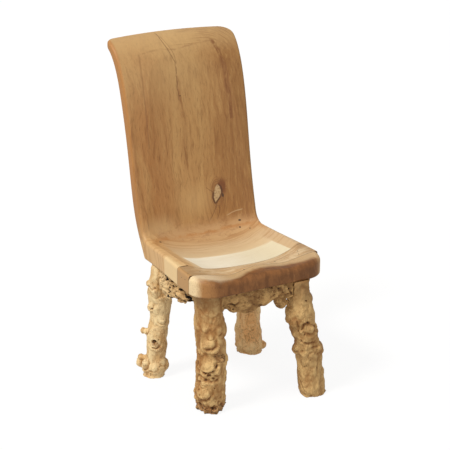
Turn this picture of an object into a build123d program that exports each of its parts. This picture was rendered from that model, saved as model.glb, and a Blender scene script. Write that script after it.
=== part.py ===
from build123d import *
import math
import os

# A high-backed chair carved from solid timber and carried on four gnarled root legs.
# Millimetres, +Z up, +Y to the rear. X = 0 is the middle of the seat, Z = 0 is the floor,
# and Y = 0 is the middle of the whole depth.

# ---------------------------------------------------------------- seat and back sizes
front_y = -304.0              # front face of the seat
seat_depth = 397.0            # front face to the heel, measured along the underside
seat_rim_height = 448.0       # top of the seat's rims above the floor
seat_thickness = 60.0         # rim to underside
front_half_width = 221.5
waist_half_width = 207.5      # narrowest place, where the back rises
top_half_width = 218.5
front_corner_radius = 72.0
top_corner_left_radius = 26.0
top_corner_right_radius = 44.0
bend_radius = 45.0            # rim line between the seat and the back
back_lean = 231.0             # heel to the rearmost edge of the scroll
back_rise = 614.0             # rim to the top of the scroll, on the centre line
back_angle = 16.3             # of the lower back, from the vertical, in degrees
back_thickness = 35.0
scroll_thickness = 23.0       # at the top edge
scroll_drop_left = 18.0       # how much lower the top edge is, margin beyond the left side
scroll_drop_right = 8.5       # and margin beyond the right side
rim_round = 9.0
underside_round = 7.0
heel_round = 10.0

# ---------------------------------------------------------------- the glued front
front_board_thickness = 66.0  # the board that closes the front
strip_width = 79.0            # the two strips behind it
strip_butt_inset = 73.5       # left side to where the two strips meet, at the front board
strip_butt_skew = 22.0        # and how far that joint runs to the right on its way back

# ---------------------------------------------------------------- the carved dish
seat_dish_depth = 34.0
back_dish_depth = 10.5
dish_half_width = 188.0
panel_half_width = 139.0      # half width of the dish at the head of the back
dish_centre_x = 5.0
dish_head = 0.86              # how far up the back the dish runs, of the rim line there
dish_fade = 0.62              # and where it starts to grow shallow
dish_lip_width = 0.70         # share of the dish's width that is left at the lip
dish_head_width = 0.78        # and at its head
dish_sway = 1.6               # how far its middle sways half way up the back, of its centre's X
dish_turn_before = 2.2        # the seat's depth turns into the back's from here before the bend
dish_turn_length = 6.0        # over this length, both in bend radii
lip_start = 20.0              # front face to the start of the dish
lip_slope = 132.0             # length over which the dish falls from the lip to its floor
lip_dip_left, lip_dip_left_depth = -86.0, 22.0       # lip under each thigh
lip_dip_right, lip_dip_right_depth = 94.0, 17.0
lip_dip_spread = 75.0         # half the width of each dip
lip_dip_front = 0.6           # share of the dips that is left at the front face
lip_dip_behind = 0.55         # and where the strips meet the block
lip_fall = 3.0                # the rim's slope down to the front face
lip_round = 16.0

# ---------------------------------------------------------------- legs
# Each leg's top is set in from the seat's side, and back from the front face or in from the
# heel. Its foot stands off from its top by a splay along X and along Y.
front_left_inset, front_left_setback = 62.0, 76.0
front_right_inset, front_right_setback = 96.0, 29.0
rear_left_inset, rear_left_setback = 34.0, 48.0
rear_right_inset, rear_right_setback = 56.0, 48.0
front_left_splay = (15.0, -2.0)
front_right_splay = (60.5, -9.0)
rear_left_splay = (-24.0, 22.0)
rear_right_splay = (14.0, 30.0)
leg_girth = 1.0               # thickness of the roots against the girths listed below

# ---------------------------------------------------------------- burl aprons
front_apron_depth = 80.0
side_apron_depth = 84.0
rear_apron_depth = 66.0
apron_half_thickness = 22.0

# ---------------------------------------------------------------- joinery
leg_dowel_diameter = 28.0
leg_dowel_in_seat = 30.0
leg_dowel_in_leg = 60.0
apron_pin_diameter = 12.0
apron_pin_in_seat = 18.0
apron_pin_in_apron = 24.0
board_dowel_diameter = 12.0
board_dowel_in_board = 40.0
board_dowel_in_block = 45.0
board_dowel_height = 12.0     # above the underside
fit = 0.1                     # glue clearance round a dowel and at its ends
housing_depth = 9.0           # flat cut in a leg where an apron butts against it
housing_clearance = 6.0       # the flat runs this far below the apron

# ---------------------------------------------------------------- places that follow
underside_z = seat_rim_height - seat_thickness
heel_y = front_y + seat_depth
board_joint_y = front_y + front_board_thickness
strip_joint_y = board_joint_y + strip_width
bend_y = heel_y + 2.0
tip_y = heel_y + back_lean
margin = 40.0                 # how far the cutting shapes run past the wood
REACH = 1000.0                # wider than the whole chair


# ================================================================ seat and back

# The face of the back: share of the lean, share of the rise, angle from the vertical.
BACK_STATIONS = [(0.240, 0.367, 13.0), (0.438, 0.732, 14.0), (0.616, 0.893, 30.0),
                 (0.806, 0.970, 52.0), (1.035, 0.998, 78.0)]


def back_point(out, up, drop=0.0):
    """A point (y, z) of the face of the back, from its shares of the lean and the rise."""
    return bend_y + out * (tip_y - bend_y), seat_rim_height + up * (back_rise - drop)


def bend_points():
    """Where the rim's bend starts on the seat and ends on the back."""
    turn = math.radians(90.0 - back_angle)
    run = bend_radius * math.tan(turn / 2.0)
    lean = math.radians(back_angle)
    start = (bend_y - run, seat_rim_height)
    end = (bend_y + run * math.sin(lean), seat_rim_height + run * math.cos(lean))
    return start, end


def leaning(angle):
    """A unit vector in the YZ plane that leans back from the vertical."""
    return Vector(0, math.sin(math.radians(angle)), math.cos(math.radians(angle)))


def rim_edges(drop=0.0):
    """The rim line in the YZ plane: seat, bend and back."""
    start, end = bend_points()
    seat = Edge.make_line((0, front_y - margin, seat_rim_height), (0, *start))
    bend = Edge.make_tangent_arc((0, *start), (0, 1, 0), (0, *end))
    points = [Vector(0, *end)]
    points += [Vector(0, *back_point(out, up, drop)) for out, up, _ in BACK_STATIONS]
    back = Edge.make_spline(points, tangents=[leaning(back_angle), leaning(BACK_STATIONS[-1][2])])
    return seat, bend, back


def side_profile(x, drop):
    """The closed side view of seat and back, at one place across the width."""
    seat, bend, back = rim_edges(drop)
    slimming = (back_thickness - scroll_thickness) / (len(BACK_STATIONS) - 2)
    stations = [(*bend_points()[1], back_angle, back_thickness)]
    for index, (out, up, angle) in enumerate(BACK_STATIONS):
        thick = back_thickness - slimming * max(index - 1, 0)
        stations.append((*back_point(out, up, drop), angle, thick))
    rear_points = [Vector(0, heel_y - margin / 2.0, underside_z - margin), Vector(0, heel_y, underside_z)]
    for y, z, angle, thick in stations:
        along = leaning(angle)
        rear_points.append(Vector(0, y + thick * along.Z, z - thick * along.Y))
    rear = Edge.make_spline(rear_points)
    end = Edge.make_line(back @ 1, rear @ 1)
    floor = Edge.make_line((0, front_y - margin, underside_z - margin), rear_points[0])
    front = Edge.make_line((0, front_y - margin, seat_rim_height),
                           (0, front_y - margin, underside_z - margin))
    return Pos(x, 0, 0) * Face(Wire([seat, bend, back, end, rear, floor, front]))


def plan_outline():
    """The outline from above: rounded front corners, a waist, and the scroll's corners."""
    corner_end_y = front_y + front_corner_radius
    corner_x = front_half_width - front_corner_radius
    seat_half = (front_half_width + waist_half_width) / 2.0 - 2.0
    back_half = (top_half_width + waist_half_width) / 2.0
    side = [Vector(front_half_width, corner_end_y), Vector(seat_half, (corner_end_y + bend_y) / 2.0),
            Vector(waist_half_width, bend_y), Vector(back_half, (bend_y + tip_y) / 2.0),
            Vector(top_half_width, tip_y)]
    right = Edge.make_spline(side, tangents=[Vector(-0.02, 1), Vector(0.01, 1)])
    corner = Edge.make_tangent_arc((corner_x, front_y), (1, 0), side[0])
    front = Edge.make_line((-corner_x, front_y), (corner_x, front_y))
    top = Edge.make_line((-top_half_width, tip_y), (top_half_width, tip_y))
    face = Face(Wire([front, corner, right, top, right.mirror(Plane.YZ), corner.mirror(Plane.YZ)]))
    rear_corners = face.vertices().group_by(Axis.Y)[-1].sort_by(Axis.X)
    face = face.fillet_2d(top_corner_left_radius, [rear_corners[0]])
    rear_corner = face.vertices().group_by(Axis.Y)[-1].sort_by(Axis.X)[-1]
    return face.fillet_2d(top_corner_right_radius, [rear_corner])


def box_between(low, high):
    """An axis-aligned box between two corners."""
    size = [b - a for a, b in zip(low, high)]
    return Pos(*low) * Box(*size, align=(Align.MIN, Align.MIN, Align.MIN))


def column(outline):
    """The outline raised from the underside to above the scroll."""
    height = seat_thickness + back_rise + margin
    return extrude(Pos(0, 0, underside_z) * outline, height, dir=(0, 0, 1))


def ease(value):
    """A smooth step from 0 to 1 as value runs from 0 to 1."""
    value = min(max(value, 0.0), 1.0)
    return value * value * (3.0 - 2.0 * value)


def dish_section(distance):
    """Depth, half width and middle of the dish, so far along the rim line."""
    start, _ = bend_points()
    seat_run = start[0] - (front_y - margin)
    bend_run = math.radians(90.0 - back_angle) * bend_radius
    back_run = rim_edges()[2].length
    behind_lip = (distance - margin - lip_start) / lip_slope
    up_back = (distance - seat_run - bend_run) / back_run
    turning = ease((distance - seat_run + dish_turn_before * bend_radius) / (dish_turn_length * bend_radius))
    head = ease((dish_head - up_back) / (dish_head - dish_fade))
    depth = seat_dish_depth + turning * (back_dish_depth - seat_dish_depth)
    depth *= ease(behind_lip) * head
    narrowing = ease(up_back * 1.15)
    half = dish_half_width + narrowing * (panel_half_width - dish_half_width)
    half *= dish_lip_width + (1.0 - dish_lip_width) * ease(behind_lip)
    half *= dish_head_width + (1.0 - dish_head_width) * ease(2.0 * head)
    middle = dish_centre_x * (1.0 + dish_sway * math.sin(math.pi * min(max(up_back, 0.0), 1.0)))
    return depth + 0.5, half, middle


def dish():
    """The hollow of seat and back in one sweep, as the wood that is carved away."""
    rim = Wire(list(rim_edges()))
    first = margin + lip_start
    last = rim.length - (1.0 - dish_head) * rim_edges()[2].length
    count, brim_spread = 26, 1.08
    sections = []
    for index in range(count + 1):
        distance = first + (last - first) * index / count
        depth, half, x = dish_section(distance)
        along = rim.tangent_at(distance / rim.length)
        out = Vector(0, -along.Z, along.Y)
        place = Plane(origin=rim.position_at(distance / rim.length), x_dir=(1, 0, 0),
                      z_dir=Vector(1, 0, 0).cross(out))
        brim = 0.5 + 0.15 * depth
        curve = Edge.make_spline([Vector(x - brim_spread * half, brim),
                                  Vector(x - 0.58 * half, -0.76 * depth),
                                  Vector(x, -depth), Vector(x + 0.66 * half, -0.80 * depth),
                                  Vector(x + brim_spread * half, brim)])
        lift = bend_radius * 0.5
        corners = [(x + brim_spread * half, lift), (x - brim_spread * half, lift)]
        lid = Wire.make_polygon([curve @ 1, *corners, curve @ 0], close=False)
        sections.append(place * Face(Wire([curve] + lid.edges())))
    return loft(sections)


def upward_faces(solid, upper):
    """The long faces of a seat piece: the carved side, or the underside and the rear."""
    faces = [f for f in solid.faces() if abs(f.normal_at().X) < 0.3 and f.bounding_box().size.Y > 1.0]
    return [f for f in faces if (f.normal_at().Z - f.normal_at().Y > 0) == upper]


def rim_loop(solid, upper, cut_y=None):
    """The edges all round those faces, less any on a plane of constant Y."""
    places = {}
    for face in upward_faces(solid, upper):
        for edge in face.edges():
            middle = edge @ 0.5
            places.setdefault((round(middle.X, 1), round(middle.Y, 1), round(middle.Z, 1)), []).append(edge)
    loop = []
    for shared in places.values():
        box = shared[0].bounding_box()
        cut = cut_y is not None and abs(box.min.Y - cut_y) + abs(box.max.Y - cut_y) < 0.01
        if len(shared) == 1 and not cut:
            loop.append(shared[0])
    return loop


def split_y(solid, y, keep):
    """Keep the part of a solid behind (TOP) or in front of (BOTTOM) a plane of constant Y."""
    return solid.split(Plane(origin=(0, y, 0), z_dir=(0, 1, 0)), keep=keep)


def carved_block():
    """Seat and back behind the front board, with rounded edges and before the dish."""
    edge_x = front_half_width + margin
    block = loft([side_profile(-edge_x, scroll_drop_left), side_profile(0, 0),
                  side_profile(edge_x, scroll_drop_right)])
    block = block & column(plan_outline())
    heel = [e for e in block.edges() if (e @ 0.5 - Vector(0, heel_y, underside_z)).length < 5.0]
    block = block.fillet(heel_round, heel)
    block = block.fillet(underside_round, rim_loop(block, False))
    block = block.fillet(rim_round, rim_loop(block, True))
    return split_y(block, board_joint_y, Keep.TOP)


def lip_drop(x):
    """How far the lip lies below the rim: two thigh dips with a hump between them."""
    left = math.exp(-((x - lip_dip_left) / lip_dip_spread) ** 2)
    right = math.exp(-((x - lip_dip_right) / lip_dip_spread) ** 2)
    return lip_dip_left_depth * left + lip_dip_right_depth * right


def lip_cutter(first_y, last_y, run, share, fall):
    """What is carved off above the lip, between two places along Y.

    A run away from the board's joint, the dips keep a share and the rim has fallen.
    """
    end_x = front_half_width + margin
    count = 24
    top = seat_rim_height + margin
    faces = []
    for y in (first_y, last_y):
        way = (y - board_joint_y) / run
        points = []
        for index in range(count + 1):
            x = end_x * (2.0 * index / count - 1.0)
            drop = lip_drop(x) * (1.0 - (1.0 - share) * way) + fall * way
            points.append(Vector(x, y, seat_rim_height - drop))
        curve = Edge.make_spline(points)
        lid = Wire.make_polygon([points[-1], (end_x, y, top), (-end_x, y, top), points[0]], close=False)
        faces.append(Face(Wire([curve] + lid.edges())))
    return loft(faces, ruled=True)


def front_board_blank():
    """The board that closes the front, with its lip, before the dish."""
    board = extrude(Pos(0, 0, underside_z) * plan_outline(), seat_thickness + margin, dir=(0, 0, 1))
    board = split_y(board, board_joint_y + margin, Keep.BOTTOM)
    board = board - lip_cutter(board_joint_y + 2 * margin, front_y - margin, -front_board_thickness,
                               lip_dip_front, lip_fall)
    board = board.fillet(underside_round, rim_loop(board, False, board_joint_y + margin))
    board = board.fillet(lip_round, rim_loop(board, True, board_joint_y + margin))
    return split_y(board, board_joint_y, Keep.BOTTOM)


# ================================================================ legs

# A root: its stations from the top down, as the share of its height, how far it bends off
# the straight line from top to foot (x, y), and its half girths (x, y). Then the lobes.
FRONT_LEFT_ROOT = [(1.0, 0, 0, 42, 44), (0.87, 8, 1, 41, 42), (0.77, 11, 0, 43, 43), (0.67, 8, -1, 44, 43),
                   (0.57, 9, 0, 41, 42), (0.46, 8, 0, 43, 43), (0.36, 4, 0, 46, 45), (0.26, 3, -1, 46, 45),
                   (0.15, -2, 0, 46, 45), (0.06, -1, 0, 42, 42), (0.0, 0, 0, 37, 37)]
FRONT_RIGHT_ROOT = [(1.0, 0, 0, 37, 38), (0.82, -2, 0, 39, 40), (0.71, -5, -1, 43, 41), (0.60, -4, 0, 42, 41),
                    (0.50, 2, 1, 40, 40), (0.39, 3, 1, 40, 39), (0.28, 3, 0, 37, 38),
                    (0.17, -2, 0, 41, 40), (0.07, -3, 0, 44, 42), (0.0, -1, 0, 43, 41)]
REAR_LEFT_ROOT = [(1.0, 6, 0, 28, 32), (0.93, 3, 0, 32, 34), (0.78, -1, -1, 35, 35), (0.65, 7, 1, 36, 36),
                  (0.52, 11, 1, 30, 32), (0.40, 8, 0, 32, 33), (0.18, 5, 0, 32, 33), (0.08, 5, 0, 38, 38),
                  (0.0, 3, 0, 36, 36)]
REAR_RIGHT_ROOT = [(1.0, 0, 0, 38, 38), (0.75, -2, 1, 37, 38), (0.50, -4, 0, 38, 38), (0.29, -6, 0, 39, 39),
                   (0.18, -5, 0, 43, 42), (0.08, -3, 0, 46, 45), (0.0, 0, 0, 44, 43)]

# Knobs on each root: share of height, heading in degrees from +X, reach from the root's
# axis, and radius. A long reach is a cut stub or a knot of burl, a short one a flat boss.
FRONT_LEFT_KNOBS = [(0.557, 241, 21, 32), (0.361, 224, 22, 33), (0.157, 205, 23, 33), (0.04, 195, 29, 16),
                    (0.445, 291, 24, 27), (0.05, 320, 22, 22)]
FRONT_RIGHT_KNOBS = [(0.67, 188, 18, 33), (0.53, 268, 15, 32), (0.38, 332, 16, 31), (0.40, 170, 19, 27)]
REAR_LEFT_KNOBS = [(0.81, 156, 30, 11), (0.60, 166, 24, 17), (0.38, 150, 47, 10), (0.27, 236, 15, 24),
                   (0.47, 292, 15, 22), (0.13, 138, 47, 12), (0.075, 130, 45, 18), (0.09, 322, 20, 25)]
REAR_RIGHT_KNOBS = [(0.055, 158, 36, 14), (0.04, 331, 44, 15), (0.36, 250, 18, 27)]


class Root:
    """One leg: a gnarled root sawn flat at both ends."""

    def __init__(self, top, splay, stations, knobs, lobes, phase, twist):
        self.top = top
        self.foot = (top[0] + splay[0], top[1] + splay[1])
        self.stations, self.knobs = stations, knobs
        self.lobes, self.phase, self.twist = lobes, phase, twist

    def at(self, share):
        """Centre and half girths at a share of the height: x, y, half_x, half_y."""
        for high, low in zip(self.stations, self.stations[1:]):
            if low[0] <= share <= high[0]:
                mix = ease((share - low[0]) / (high[0] - low[0]))
                off_x, off_y, half_x, half_y = [b + mix * (a - b) for a, b in zip(high[1:], low[1:])]
                break
        x = self.foot[0] + share * (self.top[0] - self.foot[0]) + off_x
        y = self.foot[1] + share * (self.top[1] - self.foot[1]) + off_y
        return x, y, half_x * leg_girth, half_y * leg_girth

    def section(self, share):
        """One closed, lobed girth."""
        x, y, half_x, half_y = self.at(share)
        count = 12
        points = []
        for index in range(count):
            angle = math.tau * index / count
            swell = 1.0 + self.lobes * math.cos(3 * angle + self.phase + self.twist * share)
            swell += 0.6 * self.lobes * math.cos(2 * angle - self.phase + 2.3 * self.twist * share)
            points.append(Vector(x + half_x * swell * math.cos(angle), y + half_y * swell * math.sin(angle),
                                 share * underside_z))
        return Wire([Edge.make_spline(points, periodic=True)])

    def solid(self):
        """The whole root, with its knobs, before any joinery."""
        count = 18
        root = Solid.make_loft([self.section(index / count) for index in range(count + 1)])
        for share, heading, reach, radius in self.knobs:
            x, y, _, _ = self.at(share)
            away = Vector(math.cos(math.radians(heading)), math.sin(math.radians(heading)), 0.12)
            centre = Vector(x, y, share * underside_z)
            tip = centre + away * reach * leg_girth
            knob = Pos(*tip) * Sphere(radius * leg_girth)
            if reach > 2.0 * radius:
                knob = knob + Plane(origin=centre, z_dir=away) * Cylinder(
                    0.9 * radius * leg_girth, reach * leg_girth,
                    align=(Align.CENTER, Align.CENTER, Align.MIN))
            root = root + knob
        return root & box_between((-REACH, -REACH, 0), (REACH, REACH, underside_z))

    def side(self, heading):
        """How far out an apron's flat lies on this root: its X or Y, towards a heading."""
        x, y, half_x, half_y = self.at(0.92)
        return x + heading[0] * (half_x - housing_depth) if heading[0] else \
            y + heading[1] * (half_y - housing_depth)


# ================================================================ aprons

class Apron:
    """A burl slab under the seat from one root to the next, with its top sawn flat."""

    def __init__(self, start_root, end_root, along_x, depths, full_depth, phase, pins, knobs=()):
        heading = (1, 0) if along_x else (0, 1)
        back = (-heading[0], -heading[1])
        first, last = start_root.side(heading), end_root.side(back)
        first_x, first_y, _, _ = start_root.at(0.92)
        last_x, last_y, _, _ = end_root.at(0.92)
        self.start = Vector(first, first_y, 0) if along_x else Vector(first_x, first, 0)
        self.end = Vector(last, last_y, 0) if along_x else Vector(last_x, last, 0)
        self.along_x, self.phase, self.pins, self.knobs = along_x, phase, pins, knobs
        self.depths = [full_depth * share for share in depths]

    def middle(self, share):
        """A point of the apron's centre line in plan."""
        return self.start + (self.end - self.start) * share

    def depth(self, share):
        """How far the apron hangs below the seat, at a share of its length."""
        place = share * (len(self.depths) - 1)
        index = min(int(place), len(self.depths) - 2)
        return self.depths[index] + ease(place - index) * (self.depths[index + 1] - self.depths[index])

    def solid(self):
        """The rail, its ends cut square to the flats on the roots."""
        across = Vector(0, 1, 0) if self.along_x else Vector(1, 0, 0)
        wires = []
        lengths, count = 14, 10
        for index in range(lengths + 1):
            share = index / lengths
            centre, depth = self.middle(share), self.depth(share)
            points = []
            for step in range(count):
                angle = math.tau * step / count
                swell = 1.0 + 0.07 * math.cos(3 * angle + self.phase + 13.0 * share)
                points.append(centre + across * (apron_half_thickness * swell * math.cos(angle))
                              + Vector(0, 0, underside_z - 0.36 * depth + 0.64 * depth * math.sin(angle)))
            wires.append(Wire([Edge.make_spline(points, periodic=True)]))
        rail = Solid.make_loft(wires)
        for share, below, radius in self.knobs:
            centre = self.middle(share)
            rail = rail + Pos(centre.X, centre.Y, underside_z - below) * Sphere(radius)
        return rail & box_between((-REACH, -REACH, 0), (REACH, REACH, underside_z))

    def housings(self):
        """The two flats cut in the roots, as the wood that is taken off them."""
        low = underside_z - max(self.depths[:3] + self.depths[-3:]) - housing_clearance
        wide = 2.5 * apron_half_thickness
        reach = 6.0 * housing_depth
        if self.along_x:
            return [box_between((self.start.X, self.start.Y - wide, low),
                                (self.start.X + reach, self.start.Y + wide, underside_z + 1.0)),
                    box_between((self.end.X - reach, self.end.Y - wide, low),
                                (self.end.X, self.end.Y + wide, underside_z + 1.0))]
        return [box_between((self.start.X - wide, self.start.Y, low),
                            (self.start.X + wide, self.start.Y + reach, underside_z + 1.0)),
                box_between((self.end.X - wide, self.end.Y - reach, low),
                            (self.end.X + wide, self.end.Y, underside_z + 1.0))]


# ================================================================ dowels

def upright_dowel(x, y, diameter, above, below, clearance=0.0):
    """An upright dowel through the underside; with a clearance, the hole for it."""
    length = above + below + 2 * clearance
    return Pos(x, y, underside_z - below - clearance) * Cylinder(
        diameter / 2.0 + clearance, length, align=(Align.CENTER, Align.CENTER, Align.MIN))


def board_dowel(x, clearance=0.0):
    """A long dowel from the front board through a strip into the block."""
    first = board_joint_y - board_dowel_in_board - clearance
    length = board_dowel_in_board + strip_width + board_dowel_in_block + 2 * clearance
    place = Plane(origin=(x, first, underside_z + board_dowel_height), z_dir=(0, 1, 0))
    return place * Cylinder(board_dowel_diameter / 2.0 + clearance, length,
                            align=(Align.CENTER, Align.CENTER, Align.MIN))


roots = {
    "leg_front_left": Root((front_left_inset - front_half_width, front_y + front_left_setback),
                           front_left_splay, FRONT_LEFT_ROOT, FRONT_LEFT_KNOBS, 0.035, 0.4, 5.0),
    "leg_front_right": Root((front_half_width - front_right_inset, front_y + front_right_setback),
                            front_right_splay, FRONT_RIGHT_ROOT, FRONT_RIGHT_KNOBS, 0.05, 1.9, -6.0),
    "leg_rear_left": Root((rear_left_inset - waist_half_width, heel_y - rear_left_setback),
                          rear_left_splay, REAR_LEFT_ROOT, REAR_LEFT_KNOBS, 0.035, 3.1, 4.0),
    "leg_rear_right": Root((waist_half_width - rear_right_inset, heel_y - rear_right_setback),
                           rear_right_splay, REAR_RIGHT_ROOT, REAR_RIGHT_KNOBS, 0.03, 5.0, 3.0),
}
front_left, front_right = roots["leg_front_left"], roots["leg_front_right"]
rear_left, rear_right = roots["leg_rear_left"], roots["leg_rear_right"]

aprons = {
    "apron_front": Apron(front_left, front_right, True, [0.90, 0.95, 1.06, 1.17, 1.06, 0.92, 0.76, 0.72, 0.70],
                         front_apron_depth, 0.3, pins=(0.42, 0.86), knobs=[(0.86, 69, 20), (0.24, 50, 25)]),
    "apron_left": Apron(front_left, rear_left, False, [0.62, 0.72, 0.86, 1.0, 1.0, 1.12, 1.2, 1.12],
                        side_apron_depth, 1.2, pins=(0.36, 0.80), knobs=[(0.50, 62, 24), (0.78, 72, 24)]),
    "apron_right": Apron(front_right, rear_right, False, [0.66, 0.80, 0.74, 0.86, 0.95, 0.82, 0.88, 0.76],
                         side_apron_depth, 2.6, pins=(0.52, 0.90), knobs=[(0.32, 48, 24), (0.66, 54, 24)]),
    "apron_rear": Apron(rear_left, rear_right, True, [0.86, 1.0, 0.88, 1.04, 0.94, 1.06, 0.92, 0.80],
                        rear_apron_depth, 4.0, pins=(0.28, 0.76), knobs=[(0.36, 46, 25), (0.63, 44, 24)]),
}

leg_dowels = {
    "leg_front_left": (front_left.top[0] + 2.0, board_joint_y + leg_dowel_diameter / 2.0 + 10.0),
    "leg_front_right": (front_right.top[0], board_joint_y - front_board_thickness / 2.0),
    "leg_rear_left": rear_left.top,
    "leg_rear_right": rear_right.top,
}
board_dowel_places = (-0.87 * front_half_width, -0.36 * front_half_width, 0.11 * front_half_width,
                      0.85 * front_half_width)

parts = {}
sockets = []                  # everything that is bored out of the seat pieces

for name, root in roots.items():
    x, y = leg_dowels[name]
    sizes = (leg_dowel_diameter, leg_dowel_in_seat, leg_dowel_in_leg)
    hole = upright_dowel(x, y, *sizes, clearance=fit)
    sockets.append(hole)
    leg = root.solid() - hole
    for apron in aprons.values():
        for housing in apron.housings():
            leg = leg - housing
    parts[name] = leg
    parts[name.replace("leg_", "leg_dowel_")] = upright_dowel(x, y, *sizes)

for name, apron in aprons.items():
    rail = apron.solid()
    pins = []
    for share in apron.pins:
        at = apron.middle(share)
        sizes = (apron_pin_diameter, apron_pin_in_seat, apron_pin_in_apron)
        hole = upright_dowel(at.X, at.Y, *sizes, clearance=fit)
        sockets.append(hole)
        rail = rail - hole
        pins.append(upright_dowel(at.X, at.Y, *sizes))
    parts[name] = rail
    parts[name + "_pins"] = Compound(children=pins)

for x in board_dowel_places:
    sockets.append(board_dowel(x, clearance=fit))
parts["board_dowels"] = Compound(children=[board_dowel(x) for x in board_dowel_places])

hollow = dish()
block = carved_block() - hollow
block = block - lip_cutter(board_joint_y - 1.0, strip_joint_y, strip_width, lip_dip_behind, 0.0)
board = front_board_blank() - hollow
for socket in sockets:
    block = block - socket
    board = board - socket
strips = split_y(block, strip_joint_y, Keep.BOTTOM)
butt_plane = Plane(origin=(strip_butt_inset - front_half_width, board_joint_y, 0),
                   z_dir=(strip_width, -strip_butt_skew, 0))
parts["back_and_seat"] = split_y(block, strip_joint_y, Keep.TOP)
parts["seat_strip_left"] = strips.split(butt_plane, keep=Keep.BOTTOM)
parts["seat_strip_right"] = strips.split(butt_plane, keep=Keep.TOP)
parts["seat_front_board"] = board

os.makedirs("parts", exist_ok=True)
for name, shape in parts.items():
    export_step(shape, "parts/" + name + ".step")
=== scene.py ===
import math
from collections import namedtuple

import bmesh
import bpy
import numpy as np
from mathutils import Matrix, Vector, noise


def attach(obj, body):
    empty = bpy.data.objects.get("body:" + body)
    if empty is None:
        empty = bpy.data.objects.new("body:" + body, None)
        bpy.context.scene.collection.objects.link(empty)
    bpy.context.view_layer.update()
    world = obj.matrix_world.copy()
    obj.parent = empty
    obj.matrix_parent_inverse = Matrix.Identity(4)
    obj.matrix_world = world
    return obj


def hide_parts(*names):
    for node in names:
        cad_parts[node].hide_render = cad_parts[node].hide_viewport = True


scene = bpy.context.scene
scene.view_settings.view_transform = "Standard"

# ---------------------------------------------------------------- camera
FOCAL, SENSOR, FRAME_PIXELS = 96.0, 36.0, 450.0
CAMERA_PLACE = Vector((-1.6909, -3.1054, 1.7123))
CAMERA_AIM = Vector((-0.015, -0.082, 0.522))

camera = bpy.data.objects.new("camera", bpy.data.cameras.new("camera"))
camera.data.lens = FOCAL
camera.data.sensor_width = SENSOR
camera.location = CAMERA_PLACE
camera.rotation_euler = (CAMERA_AIM - CAMERA_PLACE).to_track_quat("-Z", "Y").to_euler()
scene.collection.objects.link(camera)
scene.camera = camera

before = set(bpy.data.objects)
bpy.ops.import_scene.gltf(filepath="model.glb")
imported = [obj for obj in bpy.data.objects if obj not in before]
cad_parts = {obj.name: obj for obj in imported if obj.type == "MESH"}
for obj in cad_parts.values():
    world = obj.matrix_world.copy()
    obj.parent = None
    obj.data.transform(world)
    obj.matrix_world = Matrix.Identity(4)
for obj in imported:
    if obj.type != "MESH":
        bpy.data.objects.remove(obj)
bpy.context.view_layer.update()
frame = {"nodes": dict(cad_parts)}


def sight(u, v):
    """The direction from the camera through a point of its view, in pixels from the top left."""
    spread = SENSOR / FOCAL / FRAME_PIXELS
    ahead = Vector(((u - FRAME_PIXELS / 2) * spread, (FRAME_PIXELS / 2 - v) * spread, -1.0))
    return (camera.rotation_euler.to_matrix() @ ahead).normalized()


# ================================================================ carving
# Lengths are in metres, apart from the marks listed below, which are in mm.
MM = 0.001
UNDERSIDE = 0.388                 # the legs and aprons stop here, under the seat
SEAT_FADE = 0.012                 # the carving fades out over this height below the seat
MERGE = 1e-5                      # points nearer to each other than this are one
ROOT_PITCH, APRON_PITCH = 0.0019, 0.0017
FOLD_MEAN, BUD_MEAN = 0.30, 0.6   # taken off, so that carving neither swells nor thins a piece
CLOSE_ROUNDS, WIDE_ROUNDS = 12, 70
CREASE_SCALE, HOLLOW_SCALE, RIDGE_SCALE = 0.0026, 0.0060, 0.0045


def even_copy(node, name, pitch):
    """A closed copy of a CAD node with points spaced evenly enough to carve."""
    piece = bpy.data.objects.new(name, frame["nodes"][node].data.copy())
    scene.collection.objects.link(piece)
    shape = bmesh.new()
    shape.from_mesh(piece.data)
    bmesh.ops.remove_doubles(shape, verts=shape.verts, dist=MERGE)
    shape.to_mesh(piece.data)
    shape.free()
    even = piece.modifiers.new("even_mesh", "REMESH")
    even.mode = "VOXEL"
    even.voxel_size = pitch
    remeshed = piece.evaluated_get(bpy.context.evaluated_depsgraph_get())
    finished = bpy.data.meshes.new_from_object(remeshed)
    piece.modifiers.clear()
    piece.data = finished
    piece.data.name = name
    piece.data.materials.clear()
    return piece


def per_point(piece, key):
    """The three numbers that each point of a piece has under a key."""
    values = np.empty(3 * len(piece.data.vertices))
    piece.data.vertices.foreach_get(key, values)
    return values.reshape(-1, 3)


def smooth_step(value):
    """0 below 0, 1 above 1, and a soft rise between."""
    value = np.clip(value, 0.0, 1.0)
    return value * value * (3.0 - 2.0 * value)


def lumps(points, size, octaves=3, stretch=1.0, shift=0.0):
    """Soft random lumps from about -1 to 1; a stretch above 1 draws them out along Z."""
    scale = np.array([1.0, 1.0, 1.0 / stretch]) / size
    places = points * scale + shift
    return np.array([noise.fractal(Vector(place), 1.0, 2.0, octaves) for place in places])


def cells(points, size, shift=0.0):
    """Distances to the nearest and second nearest of scattered seeds, one seed per size."""
    found = [noise.voronoi(Vector(place))[0][:2] for place in points / size + shift]
    return np.array(found).T


def swayed(points, size, reach, shift=0.0):
    """The points pushed about by soft noise, so that what is drawn on them is never regular."""
    push = [lumps(points, size, 2, shift=shift + axis) for axis in (3.0, 7.0, 11.0)]
    return points + reach * np.stack(push, axis=1)


def folds(points, size, shift=0.0, stretch=1.0):
    """Rounded swellings from about 0.1 to 0.7 that meet in soft creases."""
    softness = 0.012
    return np.sqrt(lumps(points, size, 2, stretch, shift) ** 2 + softness)


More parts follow.
